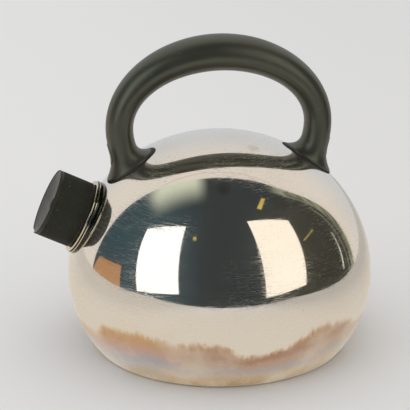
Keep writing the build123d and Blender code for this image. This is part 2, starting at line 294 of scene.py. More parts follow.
stains = {
    # where, how wide, how strong: brownish marks left by drips
    "list": (((0.0191, -0.0243, 0.1438), 0.0060, 0.55), ((-0.0076, -0.0624, 0.1293), 0.0070, 0.75),
             ((0.0300, -0.0700, 0.1200), 0.0080, 0.25), ((-0.0500, -0.0800, 0.0600), 0.0100, 0.35),
             ((0.0500, 0.0500, 0.1250), 0.0090, 0.40), ((-0.0300, 0.0900, 0.0800), 0.0110, 0.35)),
    "color": (0.42, 0.30, 0.20), "scale": 160.0, "ragged": 1.6, "core": 0.25,
    "patchy": (0.35, 0.60, 0.35, 1.0)}


def makeStains():
    group, start, end = newGroup("dripStains", {"Seed": 0.0}, {"Mask": "Float"})
    place = objectPlace(group)
    noise = addNoise(group, place, stains["scale"], 4.0, seed=start["Seed"])
    ragged = minus(group, noise, 0.5)
    total = 0.0
    for center, width, strength in stains["list"]:
        far = vectorMath(group, "DISTANCE", place, center)
        rough = plus(group, far, times(group, ragged, width * stains["ragged"]))
        total = highest(group, total, remap(group, rough, width * stains["core"], width, strength, 0.0))
    feed(group, end["Mask"], times(group, total, remap(group, noise, *stains["patchy"])))
    return group


wipeScratches = makeSwirls()
smudges = makeSmudges()
dustSpecks = makeDust()
fineGrain = makeGrain()
heatTint = makeHeatTint()
dripStains = makeStains()


def addBump(tree, shader, height, strength, depth):
    bump = addNode(tree, "ShaderNodeBump", {"Strength": strength, "Distance": depth, "Height": height})
    tree.links.new(bump.outputs[0], shader.inputs["Normal"])


def addFinish(tree, height, strength, depth, inputs):
    # One shader over a fine relief
    shader = addNode(tree, "ShaderNodeBsdfPrincipled", inputs)
    addBump(tree, shader, height, strength, depth)
    addNode(tree, "ShaderNodeOutputMaterial", {0: shader.outputs[0]})


polished = {
    "roughness": 0.022, "smudge": (0.80, 0.68, 0.55), "smudgeShare": 0.30, "smudgeRough": 0.035,
    "dust": (0.30, 0.27, 0.22), "dustShare": 0.35, "tintRough": 0.10, "dripRough": 0.20,
    "haze": 0.045, "hazeRoughness": 0.34, "scratch": 0.000010,
    "body": {"color": (0.93, 0.885, 0.82), "scratchHaze": 0.34, "bump": 0.30},
    # painted shade: the ring keeps its bright steel only at its lip and on its bead, along the spout, and is
    # painted dark in its groove, down its bore and in the gap down to the ball
    "ring": {"color": (0.80, 0.73, 0.58), "scratchHaze": 0.06, "bump": 0.02, "shade": (0.055, 0.056, 0.048),
             "bright": ((0.0010, 0.0040, 0.0001), (-0.0002, 0.0003, 0.0001))}}


def makePolishedSteel(name, part):
    # The body's steel is tinted and stained, the ring's has only painted shade, dark under its bead
    own = polished[part]
    mat, tree = newMaterial(name)
    scratches = useGroup(tree, wipeScratches, Scale=38.0)
    marks = useGroup(tree, smudges, Scale=13.0, Seed=2.0)["Mask"]
    specks = useGroup(tree, dustSpecks, Scale=230.0, Amount=0.035)["Mask"]
    base = own["color"]
    if part == "body":
        tint = useGroup(tree, heatTint, Base=base, Strength=heat["strength"])
        base = tint["Color"]
    smudgedAndShaded = mixColor(tree, times(tree, marks, polished["smudgeShare"]), base, polished["smudge"])
    rough = plus(tree, polished["roughness"], times(tree, marks, polished["smudgeRough"]))
    if part == "body":
        drips = useGroup(tree, dripStains, Seed=1.0)["Mask"]
        smudgedAndShaded = mixColor(tree, drips, smudgedAndShaded, stains["color"])
        rough = plus(tree, rough, times(tree, tint["Mask"], polished["tintRough"]))
        rough = plus(tree, rough, times(tree, drips, polished["dripRough"]))
    else:
        along = vectorMath(tree, "DOT_PRODUCT", objectPlace(tree), tuple(spoutOut))
        along = minus(tree, along, spoutFoot.dot(spoutOut))
        lip, bead = (window(tree, along, *limits) for limits in own["bright"])
        # painted shade: outside the lip and bead bands the ring's colour becomes the dark shade colour
        smudgedAndShaded = mixColor(tree, highest(tree, lip, bead), own["shade"], smudgedAndShaded)
    dusty = mixColor(tree, times(tree, specks, polished["dustShare"]), smudgedAndShaded, polished["dust"])
    sharp = addNode(tree, "ShaderNodeBsdfPrincipled", {
        "Metallic": 1.0, "Base Color": dusty, "Roughness": rough})
    haze = addNode(tree, "ShaderNodeBsdfPrincipled", {
        "Metallic": 1.0, "Base Color": smudgedAndShaded, "Roughness": polished["hazeRoughness"]})
    addBump(tree, sharp, scratches["Height"], own["bump"], polished["scratch"])
    share = plus(tree, polished["haze"], times(tree, scratches["Mask"], own["scratchHaze"]))
    mix = addNode(tree, "ShaderNodeMixShader", {0: share, 1: sharp.outputs[0], 2: haze.outputs[0]})
    addNode(tree, "ShaderNodeOutputMaterial", {0: mix.outputs[0]})
    return mat


phenolic = {
    "color": (0.019, 0.0185, 0.0155), "worn": (0.030, 0.029, 0.024), "wornShare": 0.5, "wornRough": 0.10,
    "tint": (0.93, 1.0, 0.80), "dust": (0.30, 0.30, 0.25), "dustShare": 0.6, "bump": 0.4, "grain": 0.000036,
    "handle": {"roughness": 0.35, "level": 1.0, "dustScale": 520.0, "dustAmount": 0.02},
    "cap": {"roughness": 0.48, "level": 0.40, "dustScale": 430.0, "dustAmount": 0.12}}


def makePhenolic(name, part):
    own = phenolic[part]
    mat, tree = newMaterial(name)
    marks = useGroup(tree, smudges, Scale=30.0, Seed=5.0)["Mask"]
    specks = useGroup(tree, dustSpecks, Scale=own["dustScale"], Amount=own["dustAmount"])["Mask"]
    fine = useGroup(tree, fineGrain, Scale=1400.0, Stretch=(1, 1, 1))["Height"]
    base = mixColor(tree, times(tree, marks, phenolic["wornShare"]), phenolic["color"], phenolic["worn"])
    addFinish(tree, fine, phenolic["bump"], phenolic["grain"], {
        "Base Color": mixColor(tree, times(tree, specks, phenolic["dustShare"]), base, phenolic["dust"]),
        "Roughness": plus(tree, own["roughness"], times(tree, marks, phenolic["wornRough"])),
        "IOR": 1.55, "Specular IOR Level": own["level"], "Specular Tint": phenolic["tint"]})
    return mat


satin = {"worn": 0.72, "wornShare": 0.35, "wornRough": 0.12, "bump": 0.5, "grain": 0.00003}


def makeSatinMetal(name, color, roughness, stretch):
    mat, tree = newMaterial(name)
    fine = useGroup(tree, fineGrain, Scale=300.0, Stretch=stretch)["Height"]
    marks = useGroup(tree, smudges, Scale=24.0, Seed=9.0)["Mask"]
    worn = tuple(v * satin["worn"] for v in color)
    addFinish(tree, fine, satin["bump"], satin["grain"], {
        "Metallic": 1.0, "Base Color": mixColor(tree, times(tree, marks, satin["wornShare"]), color, worn),
        "Roughness": plus(tree, roughness, times(tree, marks, satin["wornRough"]))})
    return mat


faceGrey = {"color": (0.036, 0.035, 0.032), "worn": (0.022, 0.021, 0.019), "roughness": 0.38,
            "wornRough": 0.10, "coat": 0.15, "coatRoughness": 0.16, "bump": 0.3, "grain": 0.00002}


def makeSatinGrey(name):
    # The smooth dished face of the cap, dulled by steam
    mat, tree = newMaterial(name)
    marks = useGroup(tree, smudges, Scale=60.0, Seed=4.0)["Mask"]
    fine = useGroup(tree, fineGrain, Scale=1500.0, Stretch=(1, 1, 1))["Height"]
    addFinish(tree, fine, faceGrey["bump"], faceGrey["grain"], {
        "Base Color": mixColor(tree, marks, faceGrey["color"], faceGrey["worn"]),
        "Roughness": plus(tree, faceGrey["roughness"], times(tree, marks, faceGrey["wornRough"])),
        "Coat Weight": faceGrey["coat"], "Coat Roughness": faceGrey["coatRoughness"]})
    return mat


silicone = {"color": (0.022, 0.021, 0.02), "dust": (0.22, 0.20, 0.17), "dustShare": 0.5, "roughness": 0.5,
            "grainRough": 0.3, "bump": 0.4, "grain": 0.00003}


def makeSilicone(name):
    mat, tree = newMaterial(name)
    fine = useGroup(tree, fineGrain, Scale=1800.0, Stretch=(1, 1, 1))["Height"]
    specks = useGroup(tree, dustSpecks, Scale=900.0, Amount=0.10)["Mask"]
    dusty = mixColor(tree, times(tree, specks, silicone["dustShare"]), silicone["color"], silicone["dust"])
    rough = plus(tree, silicone["roughness"], times(tree, fine, silicone["grainRough"]))
    addFinish(tree, fine, silicone["bump"], silicone["grain"], {"Base Color": dusty, "Roughness": rough})
    return mat


tintedSteel = makePolishedSteel("tintedSteel", "body")
handlePhenolic = makePhenolic("handlePhenolic", "handle")
capPhenolic = makePhenolic("capPhenolic", "cap")
facePhenolic = makeSatinGrey("capFaceGrey")
satinSteel = makeSatinMetal("satinSteel", (0.55, 0.54, 0.52), 0.28, (1, 1, 12))
baseSteel = makeSatinMetal("baseSteel", (0.52, 0.45, 0.36), 0.22, (1, 1, 8))
aluminium = makeSatinMetal("spreaderAluminium", (0.72, 0.72, 0.73), 0.34, (1, 1, 6))
darkSilicone = makeSilicone("darkSilicone")
print("materials made")


# Mesh helpers
def addPiece(name, mesh, body):
    piece = bpy.data.objects.new(name, mesh)
    scene.collection.objects.link(piece)
    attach(piece, body)
    return piece


def addMesh(name, verts, faces, mat, body, nodes):
    mesh = bpy.data.meshes.new(name)
    mesh.from_pydata(verts, [], faces)
    mesh.validate()
    mesh.materials.append(mat)
    mesh.shade_smooth()
    piece = addPiece(name, mesh, body)
    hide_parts(*nodes)


def bridge(faces, a, b, flip=False):
    # Faces between two rings that have the same number of points
    for k in range(len(a)):
        n = (k + 1) % len(a)
        face = (a[k], a[n], b[n], b[k])
        faces.append(tuple(reversed(face)) if flip else face)


def fan(faces, ring, tip, flip=False):
    # Faces from a ring to one point
    for k in range(len(ring)):
        face = (ring[k], ring[(k + 1) % len(ring)], tip)
        faces.append(tuple(reversed(face)) if flip else face)


def roundedOutline(points, rounds):
    # Closed outline with each corner rounded by its own radius
    steps = 4
    result = []
    count = len(points)
    for i, (point, radius) in enumerate(zip(points, rounds)):
        here = Vector(point)
        before = Vector(points[i - 1]) - here
        after = Vector(points[(i + 1) % count]) - here
        if radius <= 0:
            result.append(tuple(here))
            continue
        angle = before.angle(after)
        cut = min(radius / math.tan(angle / 2), before.length * 0.45, after.length * 0.45)
        start = here + before.normalized() * cut
        end = here + after.normalized() * cut
        for k in range(steps + 1):
            t = k / steps
            result.append(tuple(start * (1 - t) ** 2 + here * 2 * t * (1 - t) + end * t ** 2))
    return result


# Sizes shared with the solids
ball = {"radius": 0.1069, "widest": 0.0505, "rise": 0.0999, "drop": 0.0891, "wall": 0.001, "foot": 0.0008,
        "around": 288, "upRows": 64, "downRows": 34, "holeRoom": 0.0022}
spout = {"angle": 26.0, "foot": (-0.0946, 0.0, 0.095), "bore": 0.020, "neckWall": 0.0012, "inside": 0.011,
         "lipRadius": 0.026, "lipTop": 0.0023, "lip": 0.0011, "grooveDepth": 0.0012, "groove": 0.0006,
         "beadRadius": 0.0266, "beadSink": 0.00005, "neckTop": -0.0050, "around": 180,
         "rounds": (0.0004, 0.0003, 0, 0, 0.0005, 0.0001, 0.0001, 0.0004, 0.0005, 0.0006)}
spoutTilt = math.radians(spout["angle"])
spoutOut = Vector((-math.cos(spoutTilt), 0, math.sin(spoutTilt)))
spoutUp = Vector((math.sin(spoutTilt), 0, math.cos(spoutTilt)))
spoutSide = Vector((0, 1, 0))
spoutFoot = Vector(spout["foot"])


def atSpout(r, angle, w):
    across = spoutUp * (r * math.cos(angle)) + spoutSide * (r * math.sin(angle))
    return spoutFoot + across + spoutOut * w


def turnRound(name, outlineAt, count, mat, body, nodes):
    # The closed outline of (radius, height) that outlineAt gives for an angle, turned about the spout
    verts, faces = [], []
    for i in range(count):
        angle = 2 * math.pi * i / count
        outline = outlineAt(angle)
        verts += [atSpout(r, angle, w) for r, w in outline]
    rows = len(outline)
    for i in range(count):
        n = (i + 1) % count
        for j in range(rows):
            m = (j + 1) % rows
            faces.append((i * rows + j, i * rows + m, n * rows + m, n * rows + j))
    addMesh(name, verts, faces, mat, body, nodes)


def ballDistance(point, inset=0.0):
    # Below zero inside the ball, above zero outside
    drop = ball["rise"] if point.z >= ball["widest"] else ball["drop"]
    across = math.hypot(point.x, point.y) / (ball["radius"] - inset)
    upward = (point.z - ball["widest"]) / (drop - inset)
    return math.hypot(across, upward) - 1.0


def reachBall(start, direction, low, high, inset=0.0):
    # Distance along the direction at which the ball's surface is met
    a = ballDistance(start + direction * low, inset)
    for _ in range(50):
        middle = (low + high) / 2
        b = ballDistance(start + direction * middle, inset)
        if (a < 0) == (b < 0):
            low = middle
        else:
            high = middle
    return (low + high) / 2


def makeBody():
    outer = []
    for i in range(ball["upRows"] + 1):
        turnBy = math.pi / 2 * (1 - i / ball["upRows"])
        outer.append((math.cos(turnBy), math.sin(turnBy), ball["rise"]))
    lowTurn = math.asin((ball["widest"] - ball["foot"]) / ball["drop"])
    for i in range(1, ball["downRows"] + 1):
        turnBy = -lowTurn * i / ball["downRows"]
        outer.append((math.cos(turnBy), math.sin(turnBy), ball["drop"]))
    count = ball["around"]
    rows = len(outer)
    verts = []
    for inset in (0.0, ball["wall"]):
        verts.append(Vector((0, 0, ball["widest"] + ball["rise"] - inset)))
        for c, s, height in outer[1:]:
            level = max(ball["widest"] + (height - inset) * s, ball["foot"])
            r = (ball["radius"] - inset) * c
            for k in range(count):
                angle = 2 * math.pi * k / count
                verts.append(Vector((r * math.cos(angle), r * math.sin(angle), level)))
    layer = 1 + (rows - 1) * count
    hole = spout["bore"] + spout["neckWall"] + ball["holeRoom"]

    def index(row, k, side):
        return side * layer + (0 if row == 0 else 1 + (row - 1) * count + k % count)

    def corners(row, k, side):
        return [index(row, k, side), index(row + 1, k, side), index(row + 1, k + 1, side),
                index(row, k + 1, side)]

    def inHole(row, k):
        middle = sum((verts[i] for i in corners(row, k, 0)), Vector()) / 4
        along = (middle - spoutFoot).dot(spoutOut)
        across = (middle - spoutFoot - spoutOut * along).length
        return across < hole and middle.x < 0

    kept = {(row, k): not inHole(row, k) for row in range(rows - 1) for k in range(count)}
    faces = []
    for (row, k), solid in kept.items():
        if not solid:
            continue
        a, d, c, b = corners(row, k, 0)
        e, h, g, f = corners(row, k, 1)
        if row == 0:
            faces += [(a, d, c), (e, g, h)]
        else:
            faces += [(a, d, c, b), (e, f, g, h)]
        # the wall's edge, round the hole and at the foot
        if not kept.get((row + 1, k), False):
            faces.append((d, h, g, c))
        if not kept.get((row - 1, k), True):
            faces.append((a, b, f, e))
        if not kept[row, (k + 1) % count]:
            faces.append((b, c, g, f))
        if not kept[row, (k - 1) % count]:
            faces.append((a, e, h, d))
    addMesh("kettle_body", verts, faces, tintedSteel, "root", ["body_shell"])


makeBody()
print("body made")


# Spout collar
def makeCollar():
    s = spout
    lipStart = s["lipTop"] - s["lip"]
    grooveStart = lipStart - s["groove"]
    grooveFloor = s["lipRadius"] - s["grooveDepth"]
    neckOut = s["bore"] + s["neckWall"]

    def outlineAt(angle):
        onBall = reachBall(atSpout(s["beadRadius"], angle, 0), spoutOut, -0.012, 0.004)
        points = [(s["bore"], -s["inside"]), (neckOut, -s["inside"]), (neckOut, s["neckTop"]),
                  (s["beadRadius"], onBall - s["beadSink"]), (s["beadRadius"] - 0.0001, grooveStart),
                  (grooveFloor, grooveStart), (grooveFloor, lipStart), (s["lipRadius"], lipStart),
                  (s["lipRadius"], s["lipTop"]), (s["bore"], s["lipTop"])]
        return roundedOutline(points, s["rounds"])

    turnRound("spout_ring", outlineAt, s["around"], collarSteel, "root", ["spout_collar"])


collarSteel = makePolishedSteel("collarSteel", "ring")
makeCollar()
print("spout collar made")

# Cap
cap = {"radius": 0.0234, "start": 0.0029, "length": 0.0252, "ribs": 120, "ribDepth": 0.00045,
       "ribWidth": 0.72, "ribSink": 0.00012, "ribRoot": 0.0004, "ribArc": 6, "plainBand": 0.0009,
       "plainRim": 0.0029, "edgeRound": 0.0008, "recess": 0.0226, "seat": 0.008, "dish": 0.0034,
       "dishPower": 2.1, "rimDrop": 0.0003, "thickness": 0.0018, "skirt": 0.002, "steamHole": 0.004,
       "notchWidth": 0.008, "notchDepth": 0.0022, "notchEdge": 0.0006, "plugRadius": 0.0172,
       "plugWall": 0.0024, "plugStop": 0.0015, "plugEnd": 0.0012, "shelf": 0.002, "shelfLow": 0.0118,
       "shelfHigh": 0.0126, "sealDepth": 0.009, "sealFlange": 0.0226, "lips": 3, "lipStep": 0.0028,
       "lipReach": 0.0007, "around": 480, "innerAround": 160, "faceAround": 192}
capEnd = cap["start"] + cap["length"]
sealStart = spout["lipTop"] - cap["sealDepth"]


def makeBarrel():
    c = cap
    core = c["radius"] - c["ribDepth"]
    floor = capEnd - c["seat"]
    outer = c["radius"] - 0.00005
    band = c["start"] + c["plainBand"]
    rounds = (0.0002, 0.0003, 0.0003, 0.0002, 0.0001, 0.0001, 0.0003, c["edgeRound"] * 0.8, 0.0004, 0.0002,
              0.0002)

    def outlineAt(angle):
        # the drain notch is at the low side
        edge = (abs(c["radius"] * math.sin(angle)) - c["notchWidth"] / 2) / c["notchEdge"]
        notch = c["notchDepth"] * (1 - min(max(edge + 0.5, 0), 1)) if math.cos(angle) < 0 else 0.0
        top = capEnd - notch
        points = [(c["plugRadius"], c["start"]), (core, c["start"]), (c["radius"], c["start"] + 0.0004),
                  (c["radius"], band), (core, band + 0.0002), (core, capEnd - c["plainRim"]),
                  (outer, capEnd - c["plainRim"] + 0.0002), (outer, top), (c["recess"], top),
                  (c["recess"], floor), (c["plugRadius"], floor)]
        return roundedOutline(points, rounds)

    turnRound("cap_barrel_dressed", outlineAt, c["around"], capPhenolic, "cap",
              ["cap_barrel"])


def makeOneRib():
    c = cap
    low = c["start"] + c["plainBand"] + 0.0001
    high = capEnd - c["plainRim"] + 0.0001
    width = 2 * math.pi * c["radius"] / c["ribs"] * c["ribWidth"]
    core = c["radius"] - c["ribDepth"]
    verts, rings, faces = [], [], []
    for w, tall in ((low, 0.0), (low + 0.0003, 1.0), (high - 0.0003, 1.0), (high, 0.0)):
        first = len(verts)
        for k in range(c["ribArc"] + 1):
            t = -1 + 2 * k / c["ribArc"]
            bulge = math.sqrt(max(0.0, 1 - t * t)) * tall
            out = core - c["ribSink"] + (c["ribDepth"] + c["ribSink"]) * bulge
            verts.append((out, t * width / 2, w))
        verts.append((core - c["ribRoot"], width / 2, w))
        verts.append((core - c["ribRoot"], -width / 2, w))
        rings.append(range(first, len(verts)))
    for a, b in zip(rings, rings[1:]):
        bridge(faces, a, b)
    faces.append(tuple(reversed(rings[0])))
    faces.append(tuple(rings[-1]))
    mesh = bpy.data.meshes.new("oneRib")
    mesh.from_pydata(verts, [], faces)
    mesh.shade_smooth()
    rib = bpy.data.objects.new("oneRib", mesh)
    scene.collection.objects.link(rib)
    return rib


def makeRibs():
    # One rib, set round the barrel by a node tree, then made plain
    rib = makeOneRib()
    tree = bpy.data.node_groups.new("ribRing", "GeometryNodeTree")
    sockets = {}
    for label, kind in (("Geometry", "Geometry"), ("Count", "Int"), ("Rib", "Object"),
                        ("Finish", "Material")):
        sockets[label] = tree.interface.new_socket(label, in_out="INPUT", socket_type="NodeSocket" + kind)
    tree.interface.new_socket("Geometry", in_out="OUTPUT", socket_type="NodeSocketGeometry")
    start = addNode(tree, "NodeGroupInput").outputs
    points = addNode(tree, "GeometryNodePoints", {"Count": start["Count"]})
    number = addNode(tree, "GeometryNodeInputIndex").outputs[0]
    angle = times(tree, math2(tree, "DIVIDE", number, start["Count"]), 2 * math.pi)
    turnBy = addNode(tree, "ShaderNodeCombineXYZ", {"Z": angle})
    info = addNode(tree, "GeometryNodeObjectInfo", {"Object": start["Rib"]})
    copies = addNode(tree, "GeometryNodeInstanceOnPoints", {
        "Points": points.outputs[0], "Instance": info.outputs["Geometry"], "Rotation": turnBy.outputs[0]})
    real = addNode(tree, "GeometryNodeRealizeInstances", {0: copies.outputs[0]})
    finish = addNode(tree, "GeometryNodeSetMaterial", {
        "Geometry": real.outputs[0], "Material": start["Finish"]})
    addNode(tree, "NodeGroupOutput", {0: finish.outputs[0]})

    holder = bpy.data.objects.new("ribHolder", bpy.data.meshes.new("ribHolder"))
    scene.collection.objects.link(holder)
    modifier = holder.modifiers.new("ribs", "NODES")
    modifier.node_group = tree
    for label, value in (("Count", cap["ribs"]), ("Rib", rib), ("Finish", capPhenolic)):
        modifier[sockets[label].identifier] = value
    bpy.context.view_layer.update()
    depsgraph = bpy.context.evaluated_depsgraph_get()
    mesh = bpy.data.meshes.new_from_object(holder.evaluated_get(depsgraph))
    for unused in (holder, rib):
        bpy.data.objects.remove(unused)
    toSpout = Matrix((spoutUp, spoutSide, spoutOut)).transposed().to_4x4()
    mesh.transform(Matrix.Translation(spoutFoot) @ toSpout)
    mesh.name = "cap_ribs"
    addPiece("cap_ribs", mesh, "cap")


def makeTurned(name, points, rounds, count, mat, body, nodes):
    outline = roundedOutline(points, rounds)
    turnRound(name, lambda angle: outline, count, mat, body, nodes)


def makeFace():
    c = cap
    rim = capEnd - c["rimDrop"]
    middle = rim - c["dish"]
    floor = capEnd - c["seat"]
    inner = c["recess"] - c["skirt"]
    points = [(c["steamHole"], middle - c["thickness"]), (c["steamHole"], middle)]
    for k in range(1, 12):
        t = k / 12
        r = c["steamHole"] + (c["recess"] - c["steamHole"]) * t
        points.append((r, middle + c["dish"] * t ** c["dishPower"]))
    points += [(c["recess"], rim), (c["recess"], floor), (inner, floor),
               (inner, rim - c["thickness"] - c["dish"] * 0.25)]
    for k in range(1, 6):
        t = 1 - k / 6
        r = c["steamHole"] + (inner - c["steamHole"]) * t
        points.append((r, middle - c["thickness"] + c["dish"] * 0.75 * t ** c["dishPower"]))
    rounds = [0.0003, 0.0006] + [0] * 11 + [0.0002, 0.0002, 0.0002, 0.0006] + [0] * 5
    makeTurned("cap_dish", points, rounds, c["faceAround"], facePhenolic, "cap",
               ["cap_face"])


def makePlug():
    c = cap
    bore = c["plugRadius"] - c["plugWall"]
    stop = c["plugRadius"] + c["plugStop"]
    low = sealStart - c["plugEnd"]
    points = [(bore, low), (stop, low), (stop, sealStart), (c["plugRadius"], sealStart),
              (c["plugRadius"], capEnd - c["seat"]), (bore, capEnd - c["seat"]), (bore, c["shelfHigh"]),
              (bore - c["shelf"], c["shelfHigh"]), (bore - c["shelf"], c["shelfLow"]), (bore, c["shelfLow"])]
    rounds = (0.0004, 0.0005, 0.0003, 0.0002, 0.0003, 0.0003, 0.0001, 0.0002, 0.0001, 0.0001)
    makeTurned("cap_sleeve", points, rounds, c["innerAround"], capPhenolic, "cap",
               ["cap_plug"])


def makeSeal():
    # Three soft lips round the sleeve, and the flange under the barrel
    c = cap
    inner = c["plugRadius"] + 0.00005
    outer = spout["bore"] - 0.00008
    valley = outer - c["lipReach"]
    points = [(inner, sealStart)]
    for k in range(c["lips"]):
        base = sealStart + 0.0003 + k * c["lipStep"]
        points += [(valley, base), (outer, base + 0.0007), (outer, base + 0.0012), (valley, base + 0.0019)]
    points += [(valley, spout["lipTop"]), (c["sealFlange"], spout["lipTop"]), (c["sealFlange"], c["start"]),
               (inner, c["start"])]
    rounds = [0.0002] + [0.0002, 0.0003, 0.0003, 0.0002] * c["lips"] + [0.0002] * 4
    makeTurned("cap_soft_seal", points, rounds, c["innerAround"], darkSilicone, "seal",
               ["cap_seal"])


makeBarrel()
makeRibs()
makeFace()
makePlug()
makeSeal()
print("cap made")

# Handle
handle = {"top": 0.2075, "reach": 0.069, "side": 0.1565, "legBend": 0.048, "legAngle": 32.3,
          "gripWidth": 0.0123, "gripDepth": 0.0172, "sideWidth": 0.0094, "sideDepth": 0.0125,
          "footLength": 0.020, "footDepth": 0.016, "flare": 0.016, "buried": 0.007, "gasket": 0.0008,
          "quarter": 0.092, "footInset": 0.06, "hollow": 0.0004, "around": 72, "rows": 96}
legEnd = math.radians(handle["legAngle"])
legLength = handle["legBend"] * legEnd


def archStation(along):
    # 0 at the top, 1 at the side, then metres down the leg
    h = handle
    if along <= 1.0:
        t = along * math.pi / 2
        point = Vector((h["reach"] * math.sin(t), 0, h["side"] + (h["top"] - h["side"]) * math.cos(t)))
        step = Vector((h["reach"] * math.cos(t), 0, -(h["top"] - h["side"]) * math.sin(t)))
        return point, step.normalized()
    t = min((along - 1.0) / h["legBend"], legEnd)
    beyond = (along - 1.0) - t * h["legBend"]
    out = h["reach"] - h["legBend"] * (1 - math.cos(t))
    point = Vector((out, 0, h["side"] - h["legBend"] * math.sin(t)))
    step = Vector((-math.sin(t), 0, -math.cos(t)))
    return point + step * beyond, step


def archSize(along):
    h = handle
    if along <= 1.0:
        t = (1 - math.cos(along * math.pi)) / 2
        return (h["gripWidth"] + (h["sideWidth"] - h["gripWidth"]) * t,
                h["gripDepth"] + (h["sideDepth"] - h["gripDepth"]) * t)
    toBall = legLength - (along - 1.0)
    t = max(0.0, 1 - max(toBall, 0.0) / h["flare"]) ** 3
    return (h["sideWidth"] + (h["footLength"] - h["sideWidth"]) * t,
            h["sideDepth"] + (h["footDepth"] - h["sideDepth"]) * t)


def archPoint(along, angle):
    # The angle starts at the side that faces out from under the arch
    point, step = archStation(along)
    width, depth = archSize(along)
    outward = Vector((-step.z, 0, step.x))
    return point + outward * (width * math.cos(angle)) + Vector((0, depth * math.sin(angle), 0))


def crossing(angle, inset):
    low, high = 1.0, 1.0 + legLength + handle["buried"]
    for _ in range(50):
        middle = (low + high) / 2
        if ballDistance(archPoint(middle, angle), inset) > 0:
            low = middle
        else:
            high = middle
    return (low + high) / 2


def makeHandle():
    h = handle
    count, rows = h["around"], h["rows"]
    half = []  # from the top down the rear leg
    for k in range(count):
        angle = 2 * math.pi * k / count
        total = h["quarter"] + crossing(angle, -h["gasket"]) - 1.0
        line = []
        for j in range(rows + 1):
            s = total * (j / rows)
            along = s / h["quarter"] if s <= h["quarter"] else 1.0 + (s - h["quarter"])
            line.append(archPoint(along, angle))
        half.append(line)
    verts, rings, faces = [], [], []
    for j in range(-rows, rows + 1):
        rings.append(range(len(verts), len(verts) + count))
        for line in half:
            p = line[abs(j)]
            verts.append(Vector((-p.x if j < 0 else p.x, p.y, p.z)))
    for a, b in zip(rings, rings[1:]):
        bridge(faces, a, b)
    # close each foot with a shallow hollow
    for ring, flip in ((rings[0], True), (rings[-1], False)):
        middle = sum((verts[i] for i in ring), Vector()) / count
        inner = range(len(verts), len(verts) + count)
        verts += [verts[i].lerp(middle, h["footInset"]) for i in ring]
        verts.append(middle + Vector((0, 0, h["hollow"])))
        bridge(faces, ring, inner, flip)
        fan(faces, inner, len(verts) - 1, flip)
    addMesh("handle_moulding", verts, faces, handlePhenolic, "root", ["handle_arch"])


# The rings of a foot's pad: height over the ball and share of the way to its middle
pad = {"around": 96, "inner": 0.16, "rings": (
    (-0.00002, 0.16), (-0.00002, 0.004), (0.0002, -0.004), (0.0006, -0.004), (handle["gasket"], 0.004),
    (handle["gasket"], 0.16))}


def makeGaskets():
    count = pad["around"]
    angles = [2 * math.pi * k / count for k in range(count)]
    for name, side in (("front", -1), ("rear", 1)):
        verts, rings, faces = [], [], []
        for height, pull in pad["rings"]:
            points = [archPoint(crossing(angle, -height), angle) for angle in angles]
            middle = sum(points, Vector()) / count
            rings.append(range(len(verts), len(verts) + count))
            for p in points:
                q = p.lerp(middle, pull)
                if pull == pad["inner"]:
                    q.z += reachBall(q, Vector((0, 0, 1)), -0.02, 0.02, -height)
                verts.append(Vector((q.x * side, q.y, q.z)))
        for a, b in zip(rings, rings[1:] + rings[:1]):
            bridge(faces, a, b, side > 0)
        addMesh(name + "_foot_pad", verts, faces, darkSilicone, "root", [name + "_foot_gasket"])


screwCover = {"height": 0.139, "halfWidth": 0.0056, "halfHeight": 0.0075, "floor": 0.0731, "proud": 0.0004,
              "edge": 0.0005, "edgeFrom": 0.93, "around": 64,
              "shares": (0.35, 0.65, 0.85, 0.93, 0.97, 1.0)}


def outerSkin(y, z):
    # How far out the leg's outer skin lies at a point seen from the side: first the height, then the angle
    angle = 0.0
    for _ in range(24):
        low, high = 0.6, 1.0 + legLength + 0.002
        for _ in range(30):
            along = (low + high) / 2
            if archPoint(along, angle).z > z:
                low = along
            else:
                high = along
        angle = math.asin(max(-0.98, min(0.98, y / archSize(along)[1])))
    return archPoint(along, angle).x


def makeCovers():
    s = screwCover
    count = s["around"]
    for name, side in (("front", -1), ("rear", 1)):
        verts, rings, faces = [], [], []

        def addRing(share, level=None):
            rings.append(range(len(verts), len(verts) + count))
            for k in range(count):
                angle = 2 * math.pi * k / count
                y = s["halfWidth"] * share * math.cos(angle)
                z = s["height"] + s["halfHeight"] * share * math.sin(angle)
                falling = max(0.0, (share - s["edgeFrom"]) / (1 - s["edgeFrom"]))
                x = level or outerSkin(y, z) + s["proud"] - s["edge"] * falling ** 2
                verts.append(Vector((x * side, y, z)))

        for share in s["shares"]:
            addRing(share)
        addRing(1.0, s["floor"])
        for a, b in zip(rings, rings[1:]):
            bridge(faces, a, b, side > 0)
        for ring, x, flip in ((rings[0], outerSkin(0, s["height"]) + s["proud"], side < 0),
                              (rings[-1], s["floor"], side > 0)):
            fan(faces, ring, len(verts), flip)
            verts.append(Vector((x * side, 0, s["height"])))
        addMesh(name + "_cover_plug", verts, faces, handlePhenolic, "root",
                [name + "_screw_cover"])


makeHandle()
makeGaskets()
makeCovers()
print("handle made")

# Nodes that keep their own solids
keep = {"base_pan": satinSteel, "heat_spreader": aluminium, "base_cover": baseSteel,
        "whistle_cup": satinSteel, "whistle_disc": satinSteel,
        "front_handle_bracket": satinSteel, "rear_handle_bracket": satinSteel,
        "front_handle_washer": satinSteel, "rear_handle_washer": satinSteel,
        "front_handle_screw": satinSteel, "rear_handle_screw": satinSteel}
for nodeName, mat in keep.items():
    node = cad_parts[nodeName]
    for place in node.material_slots:
        place.material = mat
print("inner pieces finished")

